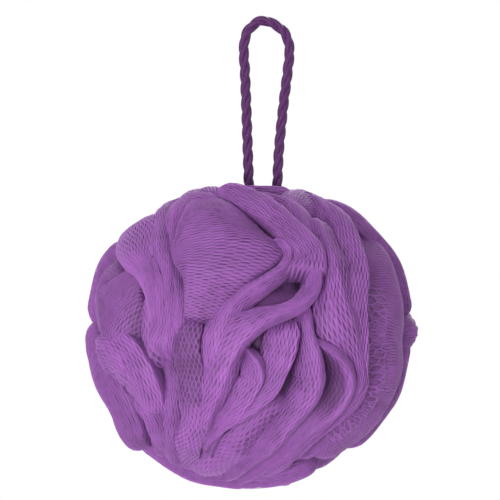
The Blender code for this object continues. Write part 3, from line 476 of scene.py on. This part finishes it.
def ruffleSurface(r, u, s, lift=0.0):
    # ruffleBase moved along its own normal by fine pleats that run with the crest and drift in phase, by
    # broad soft waves, and by lift for what lies on or under it.
    e, seed, run = folds["step"], r["seed"], u * r["long"]
    point = ruffleBase(r, u, s)
    later, sooner = np.minimum(u + e / r["long"], 1), np.maximum(u - e / r["long"], 0)
    ahead = ruffleBase(r, later, s) - ruffleBase(r, sooner, s)
    right = ruffleBase(r, u, s + e) - ruffleBase(r, u, s - e)
    normal = unit(np.cross(ahead, right) + 1e-15)
    phase = rippled(folds["drift"], run, seed)
    wide = r["pleatWidth"] * (1 + rippled(folds["widen"], run, seed))
    across, along = folds["fadeOver"]
    strength = 1 - folds["fade"] + folds["fade"] * np.sin(s / across + run / along + seed)
    pleats = r["pleat"] * strength * np.sin(2 * math.pi * s / wide + phase)
    across, along = folds["waveOver"]
    sway = rippled(folds["sway"], run, seed)
    waves = r["wave"] * np.sin(s / across + 1.6 * seed + sway) * np.sin(run / along + seed)
    return point + normal * ((pleats + waves + lift) * mm)[..., None]


# The trough for the swinging loop: its hinge's height, the room under it, the degrees it swings, half the
# trough's width, and over what width its sides rise by how much
trough = {"hinge": -0.0600, "room": 0.0026, "swing": 75, "half": 0.0125, "side": 0.003, "rise": 0.05}


def clearOfLoop(points):
    # Points pushed down under the trough.
    slope = 1 / math.tan(math.radians(trough["swing"]))
    beside = np.clip((np.abs(points[..., 0]) - trough["half"]) / trough["side"], 0, 1)
    limit = trough["hinge"] - trough["room"] + slope * np.abs(points[..., 1]) + trough["rise"] * beside
    points[..., 2] = np.minimum(points[..., 2], limit)
    return points


def newMesh(name, points, groups, maps, shade=None):
    # Points, and arrays of faces each with its own number of corners. Maps go by point or by corner.
    mesh = bpy.data.meshes.new(name)
    corners = np.concatenate([faces.ravel() for faces in groups]).astype(np.int32)
    sizes = np.concatenate([np.full(len(faces), faces.shape[1]) for faces in groups])
    mesh.vertices.add(len(points))
    mesh.vertices.foreach_set("co", np.asarray(points, np.float32).ravel())
    mesh.loops.add(len(corners))
    mesh.loops.foreach_set("vertex_index", corners)
    mesh.polygons.add(len(sizes))
    mesh.polygons.foreach_set("loop_start", (np.cumsum(sizes) - sizes).astype(np.int32))
    mesh.update(calc_edges=True)
    mesh.polygons.foreach_set("use_smooth", np.ones(len(sizes), bool))
    # The painted shade of each point, which the net's material reads
    if shade is not None:
        mesh.attributes.new("shade", "FLOAT", "POINT").data.foreach_set("value", shade.astype(np.float32))
    for mapName, places in maps.items():
        byCorner = places if len(places) == len(corners) else places[corners]
        mesh.uv_layers.new(name=mapName).uv.foreach_set("vector", byCorner.astype(np.float32).ravel())
    mesh.validate()
    print(name, "faces", len(sizes))
    return newObject(name, mesh)


def newObject(name, data, place=(0, 0, 0), turn=(0, 0, 0)):
    made = bpy.data.objects.new(name, data)
    made.location, made.rotation_euler = place, turn
    bpy.context.scene.collection.objects.link(made)
    return made


def gridFaces(rows, columns):
    # Quads of a grid whose points run column by column within each row.
    i = np.arange(rows - 1)[:, None] * columns + np.arange(columns - 1)[None]
    return np.stack([i, i + columns, i + columns + 1, i + 1], axis=-1).reshape(-1, 4)


def roundFaces(rows, columns):
    # Quads of a grid closed round, a face over each end, and the shares round and along at each corner.
    i, j = np.meshgrid(np.arange(rows - 1), np.arange(columns), indexing="ij")
    i = np.stack([i, i, i + 1, i + 1], axis=-1).reshape(-1, 4)
    j = np.stack([j, j + 1, j + 1, j], axis=-1).reshape(-1, 4)
    ring = np.arange(columns)
    ends = np.stack([ring[::-1], (rows - 1) * columns + ring])
    around = np.concatenate([j.ravel(), ring[::-1], ring]) / columns
    along = np.concatenate([i.ravel() / (rows - 1), np.zeros(columns), np.ones(columns)])
    return i * columns + j % columns, ends, np.stack([around, along], axis=-1)


tileEdge = 0.02  # share of a tile left free on each side


def joined(parts):
    # The parts' points, faces and facts as one, with the shares of each in its own tile of a square map.
    tiles = math.ceil(math.sqrt(len(parts)))
    points, faces, facts, start = [], [], [], 0
    for k, (p, f, m) in enumerate(parts):
        corner = np.array([k % tiles, k // tiles])
        m[:, 2:4] = (corner + tileEdge + (1 - 2 * tileEdge) * m[:, 2:4]) / tiles
        points.append(p)
        faces.append(f + start)
        facts.append(m)
        start += len(p)
    return np.vstack(points), np.vstack(faces), np.vstack(facts)


# The cloth's painted shade, 0 for light to 1 for dark, and lengths in millimetres
tone = {
    "top": 0.22,
    "cavity": 0.8,  # how much painted shade darkens it deep between the folds
    "crest": 0.25,  # painted highlight: how much lighter at the crest of a narrow fold
    "crestHighlightWide": 1.4,
    "narrow": (2.5, 7.5),  # a fold is narrow up to the first width and not from the second on
    "hollow": (0.6, 1.6),  # where a hollow's painted shade starts left of its crest, and over what width
    "apart": 40,  # how far each ruffle's threads are moved
}


def clothFacts(r, u, s):
    # Beside each point: millimetres across and along the threads, shares across and along the cloth, and its
    # painted shade: darker where given and inside a hollow, lighter as a painted highlight on a narrow
    # crest.
    across, along = s, u * r["long"]
    if r["style"]["way"] == "across":
        across, along = along, across
    share = (s + r["leftArc"]) / (r["leftArc"] + r["rightArc"])
    width = min(r["leftAlong"].mean(), r["rightAlong"].mean())
    # How much painted highlight each point takes, near the crest of a narrow fold
    edge = np.exp(-(s / tone["crestHighlightWide"])**2) * np.interp(width, tone["narrow"], (1, 0))
    paintedShade = np.atleast_1d(r["paintedShade"])
    dark = np.interp(u, np.linspace(0, 1, len(paintedShade)), paintedShade)
    if r["hollow"]:
        start, over = tone["hollow"]
        dark = dark * np.clip(-(s + start) / over, 0, 1)
    # A painted highlight lightens the crest of a narrow fold
    dark = dark - tone["crest"] * edge
    offset = tone["apart"] * r["seed"]
    return np.stack([across + offset, along + offset, share, u, dark], axis=-1).reshape(-1, 5)


netNames = {1: "front_left", 2: "front_right", 3: "back_right", 4: "back_left"}


def makeCloth(start, ruffles, parts, far):
    # A piece for each length of net, joined from the parts of its ruffles.
    made = {}
    for net, where in netNames.items():
        points, faces, facts = joined([part for part, r in zip(parts, ruffles) if r["net"] == net])
        # Painted shade: darker deep under the cloth round about, with each ruffle's own painted shade and
        # crest highlight
        shade = np.clip(tone["top"] + tone["cavity"] * cavity(points, far) + facts[:, 4], 0, 1)
        maps = {"cloth": facts[:, :2], "OFBake": facts[:, 2:4]}
        made[net] = newMesh(start + where, points, [faces], maps, shade)
    return made


# The closed cloth of further layers under the open net, and its fewest rows
lining = {"under": 0.34, "step": 1.5, "least": 8}


def liningPart(r):
    rows = max(lining["least"], round(r["long"] / lining["step"]))
    columns = max(lining["least"], round((r["leftArc"] + r["rightArc"]) / lining["step"]))
    u, s = ruffleGrid(r, rows, columns)
    points = clearOfLoop(ruffleSurface(r, u, s, -lining["under"])).reshape(-1, 3)
    return points, gridFaces(rows, columns), clothFacts(r, u, s)


def ruffleGrid(r, rows, columns):
    # Even steps along the crest and across the cloth.
    across = np.linspace(-r["leftArc"], r["rightArc"], columns)
    return np.meshgrid(np.linspace(0, 1, rows), across, indexing="ij")


# Cells each way, points read on each ruffle, and rounds of filling gaps and of lowering
outlineGrid = {"size": (90, 180), "points": (120, 90), "fill": 2, "lower": 2}


def findOutline(ruffles):
    # How far out the cloth comes in each direction, lowered to the least within two cells.
    far = np.zeros(outlineGrid["size"])
    for r in ruffles:
        i, j, radius = gridCell(ruffleBase(r, *ruffleGrid(r, *outlineGrid["points"])), far.shape)
        np.maximum.at(far, (i, j), radius)
    for _ in range(outlineGrid["fill"]):
        far = np.where(far == 0, neighbours(far, np.maximum), far)
    for _ in range(outlineGrid["lower"]):
        far = neighbours(far, np.minimum)
    return far


# How far under the outline the cloth is painted darker as shade, and rounds of widening and of blurring it
# first
deepest = {"from": 1.5, "over": 8, "widen": 3, "blur": 4}


def cavity(points, far):
    # How deep the points lie under the cloth round them, from 0 to 1.
    around = far
    for _ in range(deepest["widen"]):
        around = neighbours(around, np.maximum)
    for _ in range(deepest["blur"]):
        around = neighbours(around, np.add) / 10  # nine cells, the middle one twice
    i, j, radius = gridCell(points, far.shape)
    return np.clip((around[i, j] - radius - deepest["from"]) / deepest["over"], 0, 1)


def gridCell(points, size):
    # The cell each point lies in, seen from the ball's middle, and its distance.
    away = points - ball["centre"]
    radius = np.linalg.norm(away, axis=-1)
    lat = np.degrees(np.arcsin(np.clip(away[..., 2] / radius, -1, 1)))
    lon = np.degrees(np.arctan2(away[..., 0], -away[..., 1]))
    i = np.clip(((lat + 90) / 180 * size[0]).astype(int), 0, size[0] - 1)
    j = ((lon + 180) / 360 * size[1]).astype(int) % size[1]
    return i, j, radius / mm


def neighbours(grid, merge):
    # Each cell merged with the nine round and in it.
    wide = np.pad(grid, ((1, 1), (0, 0)), mode="edge")
    wide = np.concatenate([wide[:, -1:], wide, wide[:, :1]], axis=1)
    rows, columns = grid.shape
    found = grid
    for i in range(3):
        for j in range(3):
            found = merge(found, wide[i:i + rows, j:j + columns])
    return found


# The net's cells, in millimetres
lattice = {
    "lift": 0.06,  # of the middle of a thread above the cloth, and of the edge of a hole
    "sunk": -0.12,
    "hidden": 4.5,  # cells this far under the outline are left out
    "least": 3,  # cells and rows
    "rowDrift": (0.35, 0.55, 0.31),  # in cells, and radians to a cell along the row and across
    "cellDrift": (0.30, 0.27, 0.43),
    "patches": ((2.9, 9.1), (-7.7, 6.3)),  # lengths of the two waves across and along
    "stretch": (0.5, 0.8),  # how open it is, give or take
    "crest": (0.1, 0.8, 2.2),  # how open at the crest, over what width, and how far on it is wide open
    "looseEdge": (3, 0.3),  # how far inside a loose place it is wide open, and how unevenly
}


def latticePart(r, far):
    # Cells in staggered rows whose ends are cosine waves shared with the next row, each a ring of quads
    # between its outline and the same outline drawn in towards its middle. They are open in drifting patches
    # of two crossed waves, and closed by the crest.
    style, seed = r["style"], r["seed"]
    across = r["leftArc"] + r["rightArc"]
    along = style["way"] == "along"
    wideRoom, longRoom = (across, r["long"]) if along else (r["long"], across)
    cells = max(lattice["least"], round(wideRoom / style["wide"]))
    rows = max(lattice["least"], round(longRoom / style["long"]))
    uneven = style["uneven"]

    def place(a, b, lift):
        # At a cells along the row and b rows, each moved by two crossed sines.
        by, alongRow, acrossRow = lattice["rowDrift"]
        b = b + by * uneven * np.sin(alongRow * a + seed) * np.sin(acrossRow * b + 2 * seed)
        by, alongRow, acrossRow = lattice["cellDrift"]
        a = a + by * uneven * np.sin(acrossRow * b + seed) * np.sin(alongRow * a + 3 * seed)
        a, b = np.clip(a / cells, 0, 1), np.clip(b / rows, 0, 1)
        u, q = (b, a) if along else (a, b)
        s = -r["leftArc"] + q * across
        return clearOfLoop(ruffleSurface(r, u, s, lift)), clothFacts(r, u, s)

    # The edges between rows, at quarters of a cell, then the ring of edge points round each cell
    span = 4 * cells + 3
    j, k = np.meshgrid(np.arange(rows + 1), np.arange(span) / 2, indexing="ij")
    edgeA, edgeB = (k / 2).ravel(), (j + (0.5 - style["tip"]) * np.cos(math.pi * (k + j))).ravel()
    row, cell = np.meshgrid(np.arange(rows), np.arange(cells), indexing="ij")
    row, middle = row.ravel(), (2 * (2 * cell + 1 + row % 2)).ravel()
    low = (row * span + middle)[:, None] + np.linspace(-2, 2, style["points"]).astype(int)
    ring = np.concatenate([low, low[:, ::-1] + span], axis=1)
    a, b = edgeA[ring], edgeB[ring]
    midA, midB = a.mean(axis=1), b.mean(axis=1)
    middles, facts = place(midA, midB, 0)
    i, j, radius = gridCell(middles, far.shape)
    seen = radius > far[i, j] - lattice["hidden"]
    ring, a, b, midA, midB = ring[seen], a[seen], b[seen], midA[seen, None], midB[seen, None]
    outer, outerFacts = place(edgeA, edgeB, lattice["lift"])
    s = facts[seen, 2, None] * across - r["leftArc"]
    run = facts[seen, 3, None] * r["long"]
    (firstS, firstRun), (nextS, nextRun) = lattice["patches"]
    patches = np.sin(s / firstS + run / firstRun + seed) * np.sin(run / nextRun + s / nextS + 2 * seed)
    mean, change = lattice["stretch"]
    least, wide, over = lattice["crest"]
    stretched = np.clip(mean + change * patches, 0, 1) * np.clip(least + (np.abs(s) - wide) / over, 0, 1)
    if r["loose"]:
        (left, right), (first, last) = r["loose"]
        inside = np.minimum(np.minimum(s - left, right - s), np.minimum(run - first, last - run))
        over, change = lattice["looseEdge"]
        stretched = np.clip(inside / over + change * patches, 0, 1)
    hole = style["closed"] + (style["hole"][0] - style["closed"]) * stretched, style["hole"][1]
    inner, innerFacts = place(midA + hole[0] * (a - midA), midB + hole[1] * (b - midB), lattice["sunk"])
    used, ring = np.unique(ring, return_inverse=True)
    corners = 2 * style["points"]
    ring = ring.reshape(-1, corners)
    own = len(used) + np.arange(inner.size // 3).reshape(-1, corners)
    faces = np.stack([ring, np.roll(ring, -1, axis=1), np.roll(own, -1, axis=1), own], axis=-1)
    faces = faces.reshape(-1, 4)
    if along:
        faces = faces[:, ::-1]
    points = np.vstack([outer[used], inner.reshape(-1, 3)])
    return points, faces, np.vstack([outerFacts[used], innerFacts])


# The folds packed deep in the ball, in millimetres, and the latitude of its ends
innerNet = {"under": 10.0, "ripple": 1.5, "folds": 21, "grid": (90, 180), "end": 89, "map": (350, 180)}


def makeInnerNet():
    # The ball's surface lowered, with ripples as a sine of the longitude that fade to the poles.
    rows, columns = innerNet["grid"]
    lats = np.linspace(-innerNet["end"], innerNet["end"], rows)
    lat, lon = np.meshgrid(lats, np.arange(columns) * 360 / columns, indexing="ij")
    aim = direction(lon, lat)
    ripple = innerNet["ripple"] * np.sin(np.radians(lon * innerNet["folds"])) * np.cos(np.radians(lat))
    surface = 1 / np.linalg.norm(aim / ball["half"], axis=-1) + (ripple - innerNet["under"]) * mm
    points = clearOfLoop(ball["centre"] + aim * surface[..., None]).reshape(-1, 3)
    quads, ends, shares = roundFaces(rows, columns)
    maps = {"cloth": shares * innerNet["map"], "OFBake": shares}
    # Painted in full shade, as the deepest layer
    return newMesh("net_inner", points, [quads, ends], maps, np.ones(len(points)))


# The rope, in metres
ropeLay = {
    "radius": 0.0020,
    "strand": 0.00108,  # radius of each strand
    "strands": 3,
    "lay": 0.0165,  # length of one turn
    "sides": 10,
    "points": 290,
    "apart": 7,  # millimetres by which the fibres of each strand are moved
    "tile": 0.9,  # share of its tile of the map that each takes
}

loopWay = [
    (-0.0053, 0, -0.0624), (-0.0053, 0, -0.0600), (-0.0057, 0, -0.0480), (-0.00625, 0, -0.0312),
    (-0.0068, 0, -0.0168), (-0.0072, 0, -0.0084), (-0.0056, 0, -0.0018), (0, 0, 0.0020),
    (0.00725, 0, -0.0016), (0.0098, 0, -0.0080), (0.0092, 0, -0.0168), (0.00755, 0, -0.0300),
    (0.0059, 0, -0.0468), (0.0053, 0, -0.0600), (0.0053, 0, -0.0624),
]


def squareTo(way):
    # Two directions at each point of a way, square to it and to each other.
    ahead = unit(np.gradient(way, axis=0))
    first = unit(np.cross(ahead, [0, 1, 0]))
    return first, np.cross(ahead, first)


def twistedRope(name, way, facts):
    # Strands wound round the way: each a tube whose middle turns round the way once in each lay.
    count, sides = facts["strands"], facts["sides"]
    across, up = squareTo(way)
    run = distances(way)
    reach = facts["radius"] - facts["strand"]
    girth = 2 * math.pi * facts["strand"] / mm
    ring = (np.arange(sides) * 2 * math.pi / sides)[None, :, None]
    quads, ends, shares = roundFaces(len(way), sides)
    points, groups, cloth, bake = [], [], [], []
    for k in range(count):
        turn = 2 * math.pi * (run / facts["lay"] + k / count)
        middle = way + reach * (np.cos(turn)[:, None] * across + np.sin(turn)[:, None] * up)
        first, second = squareTo(middle)
        around = np.cos(ring) * first[:, None] + np.sin(ring) * second[:, None]
        points.append((middle[:, None] + facts["strand"] * around).reshape(-1, 3))
        groups += [quads + k * len(way) * sides, ends + k * len(way) * sides]
        cloth.append(shares * [girth, run[-1] / mm] + [0, facts["apart"] * k])
        bake.append((shares * [facts["tile"], 1] + [k, 0]) / [count, 1])
    maps = {"cloth": np.vstack(cloth), "OFBake": np.vstack(bake)}
    return newMesh(name, np.vstack(points), groups, maps)


def makeRope():
    way = smoothWay(loopWay, ropeLay["points"])
    rope = twistedRope("rope_loop", way, ropeLay)
    rope.data.materials.append(ropeMaterial("rope", ropeColours, "cloth"))
    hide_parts("hanging_loop")
    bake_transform(rope)


def newMaterial(name, finish):
    made = bpy.data.materials.new(name)
    made.use_nodes = True
    shader = made.node_tree.nodes["Principled BSDF"]
    for socket, value in finish.items():
        shader.inputs[socket].default_value = value
    return made, made.node_tree, shader


def addNode(tree, kind, inputs, **settings):
    # A node, its settings, and then its inputs: each a constant or the socket that feeds it.
    made = tree.nodes.new("ShaderNode" + kind)
    for name, value in settings.items():
        setattr(made, name, value)
    for name, value in inputs.items():
        if isinstance(value, bpy.types.NodeSocket):
            tree.links.new(value, made.inputs[name])
        else:
            made.inputs[name].default_value = value
    return made


def combine(tree, operation, first, second, clamp=False):
    return addNode(tree, "Math", {0: first, 1: second}, operation=operation, use_clamp=clamp).outputs[0]


def spread(tree, value, known, wanted, kind="LINEAR"):
    # The value moved from one range to another, and kept within it.
    ends = dict(zip(("From Min", "From Max", "To Min", "To Max"), known + wanted))
    return addNode(tree, "MapRange", {"Value": value, **ends}, interpolation_type=kind).outputs["Result"]


def noise(tree, place, stretch, detail=2, distortion=0):
    # Noise with so many spots to a unit each way.
    drawn = addNode(tree, "Mapping", {"Vector": place, "Scale": stretch}).outputs["Vector"]
    inputs = {"Vector": drawn, "Scale": 1, "Detail": detail, "Distortion": distortion}
    return addNode(tree, "TexNoise", inputs).outputs["Fac"]


def onObject(tree):
    return addNode(tree, "TexCoord", {}).outputs["Object"]


def paint(tree, shader, colours, dark, height, strength, distance):
    # The colour by how dark it is, from 0 to 1, and a bump by the height.
    ends = {"A": (*colours["light"], 1), "B": (*colours["dark"], 1), "Factor": dark}
    mix = addNode(tree, "Mix", ends, data_type="RGBA")
    bump = addNode(tree, "Bump", {"Strength": strength, "Distance": distance, "Height": height})
    tree.links.new(mix.outputs["Result"], shader.inputs["Base Color"])
    tree.links.new(bump.outputs["Normal"], shader.inputs["Normal"])


ropeColours = {"light": (0.085, 0.017, 0.106), "dark": (0.030, 0.006, 0.040)}
tieColours = {"light": (0.62, 0.57, 0.64), "dark": (0.42, 0.38, 0.45)}
satin = {"Roughness": 0.5, "Specular IOR Level": 0.2, "Sheen Weight": 0.15,
         "Sheen Tint": (0.6, 0.3, 0.75, 1)}
# Spots to a unit of the map, or to a metre without one, what of them shows, and the bump
ropeFibres = {"map": (5, 0.45, 1), "metre": (3000, 3000, 400), "shown": (0.3, 0.7), "bump": (0.5, 0.0002)}


def ropeMaterial(name, colours, mapName=None):
    # Satin fibres, as a change of colour and a bump. A piece without a map takes them along its height.
    made, tree, shader = newMaterial(name, satin)
    if mapName:
        flat = addNode(tree, "UVMap", {}, uv_map=mapName).outputs["UV"]
        fibre = noise(tree, flat, ropeFibres["map"])
    else:
        fibre = noise(tree, onObject(tree), ropeFibres["metre"])
    dark = spread(tree, fibre, ropeFibres["shown"], (1, 0))
    paint(tree, shader, colours, dark, fibre, *ropeFibres["bump"])
    return made


# Light is the net's colour where lit, dark its colour in painted shade; the layer under is painted as a
# darker, shaded copy. Threads is how much those of further layers show.
netColours = {
    "net": {"light": (0.255, 0.082, 0.330), "dark": (0.110, 0.034, 0.140), "threads": 0.15},
    "under": {"light": (0.205, 0.065, 0.268), "dark": (0.070, 0.022, 0.090), "threads": 0.7},
}
softPlastic = {"Roughness": 0.6, "Specular IOR Level": 0.25, "Sheen Weight": 0.25,
               "Sheen Tint": (0.7, 0.42, 0.85, 1)}
# Soft patches of random tone, then threads: spots to a metre or a millimetre, what of them shows, and how
# strongly
netPatch = {"fine": (130, 130, 130), "detail": 3, "shown": (0.3, 0.7), "shade": (0.15, -0.15)}
netThread = {"fine": (1.25, 0.22, 1), "wavy": 0.2, "shown": (0.36, 0.60), "bump": (0.6, 0.0003)}


def netMaterial(name):
    # Soft patches of random tone, darker by the painted shade and lighter by the painted crest highlight
    # kept beside each point, and threads in the colour and as a bump.
    colours = netColours[name]
    made, tree, shader = newMaterial(name, softPlastic)
    patch = noise(tree, onObject(tree), netPatch["fine"], netPatch["detail"])
    # The painted shade and crest highlight kept beside each point
    shade = addNode(tree, "Attribute", {}, attribute_name="shade").outputs["Fac"]
    dark = combine(tree, "ADD", spread(tree, patch, netPatch["shown"], netPatch["shade"]), shade)
    flat = addNode(tree, "UVMap", {}, uv_map="cloth").outputs["UV"]
    streak = noise(tree, flat, netThread["fine"], distortion=netThread["wavy"])
    slits = spread(tree, streak, netThread["shown"], (colours["threads"], 0))
    dark = combine(tree, "ADD", slits, dark, clamp=True)
    paint(tree, shader, colours, dark, streak, *netThread["bump"])
    return made


camera = {"place": (-0.0049, -1.30, -0.0838), "width": 0.187, "sensor": 36}

# Place and size in metres, and watts
lamps = {
    "key": ((-0.50, -0.70, 0.65), 0.45, 5.4),
    "fill": ((0.70, -0.65, 0.42), 0.8, 3.4),
    "rim": ((0.2, 0.8, 0.5), 0.6, 7.0),
    "low": ((-0.35, -0.85, -0.32), 0.4, 9.7),
}
worldStrength = 0.45
# How white the floor is rises from least at near to 1 at far.
ground = {"half": 3.0, "height": -0.42, "near": 0.5, "far": 2.2, "least": 0.75}
groundFinish = {"Base Color": (0.85, 0.85, 0.85, 1), "Roughness": 0.8}


def makeCamera():
    data = bpy.data.cameras.new("camera")
    data.sensor_width = camera["sensor"]
    data.lens = camera["sensor"] * -camera["place"][1] / camera["width"]
    bpy.context.scene.camera = newObject("camera", data, camera["place"], (math.pi / 2, 0, 0))


def makeLamps():
    # Each one turned to the middle of the ball.
    for name, (place, size, watts) in lamps.items():
        data = bpy.data.lights.new(name, "AREA")
        data.size, data.energy = size, watts
        x, y, z = ball["centre"] - place
        newObject(name, data, place, (math.atan2(math.hypot(x, y), -z), 0, math.atan2(x, -y) + math.pi))
    print("lamps:", len(lamps))


def whiteForViewer(tree, lit, white, share=None):
    # White where the camera, a mirror or glass looks straight at it, by the share given, else lit as it is.
    path = addNode(tree, "LightPath", {}).outputs
    seen = combine(tree, "MAXIMUM", path["Is Camera Ray"], path["Is Glossy Ray"])
    seen = combine(tree, "MAXIMUM", seen, path["Is Transmission Ray"])
    if share:
        seen = combine(tree, "MULTIPLY", seen, share)
    return addNode(tree, "MixShader", {"Fac": seen, 1: lit, 2: white}).outputs[0]


def makeWorld():
    world = bpy.data.worlds.new("studio")
    bpy.context.scene.world = world
    world.use_nodes = True
    tree = world.node_tree
    soft = tree.nodes["Background"]
    soft.inputs["Color"].default_value = (1, 1, 1, 1)
    soft.inputs["Strength"].default_value = worldStrength
    white = addNode(tree, "Background", {"Color": (1, 1, 1, 1)})
    seen = whiteForViewer(tree, soft.outputs[0], white.outputs[0])
    tree.links.new(seen, tree.nodes["World Output"].inputs["Surface"])


def makeFloor():
    half, height = ground["half"], ground["height"]
    floor = bpy.data.meshes.new("floor")
    corners = [(x, y, height) for x, y in ((-half, -half), (half, -half), (half, half), (-half, half))]
    floor.from_pydata(corners, [], [(0, 1, 2, 3)])
    made, tree, shader = newMaterial("floor", groundFinish)
    glow = addNode(tree, "Emission", {}).outputs[0]
    away = addNode(tree, "VectorMath", {0: onObject(tree)}, operation="LENGTH").outputs["Value"]
    fade = spread(tree, away, (ground["near"], ground["far"]), (ground["least"], 1), "SMOOTHSTEP")
    seen = whiteForViewer(tree, shader.outputs[0], glow, fade)
    tree.links.new(seen, tree.nodes["Material Output"].inputs["Surface"])
    floor.materials.append(made)
    newObject("floor", floor)


bpy.context.scene.view_settings.view_transform = "Standard"
makeCamera()
makeRope()
ruffles = finishRuffles()
netPaint, shadedUnderPaint = netMaterial("net"), netMaterial("under")
far = findOutline(ruffles)
linings = makeCloth("net_under_", ruffles, [liningPart(r) for r in ruffles], far)
nets = makeCloth("net_", ruffles, [latticePart(r, far) for r in ruffles], far)
for k in netNames:
    linings[k].data.materials.append(shadedUnderPaint)
    nets[k].data.materials.append(netPaint)
    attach(linings[k], "puff")
    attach(nets[k], "puff")
    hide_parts("net_length_%d" % k)
inner = makeInnerNet()
inner.data.materials.append(shadedUnderPaint)
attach(inner, "puff")
for node in ("rope_leg_left", "rope_leg_right", "rope_knot", "centre_tie", "tie_knot"):
    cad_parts[node].data.materials.clear()
    colours = ropeColours if node.startswith("rope") else tieColours
    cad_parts[node].data.materials.append(ropeMaterial(node, colours))
makeWorld()
makeLamps()
makeFloor()
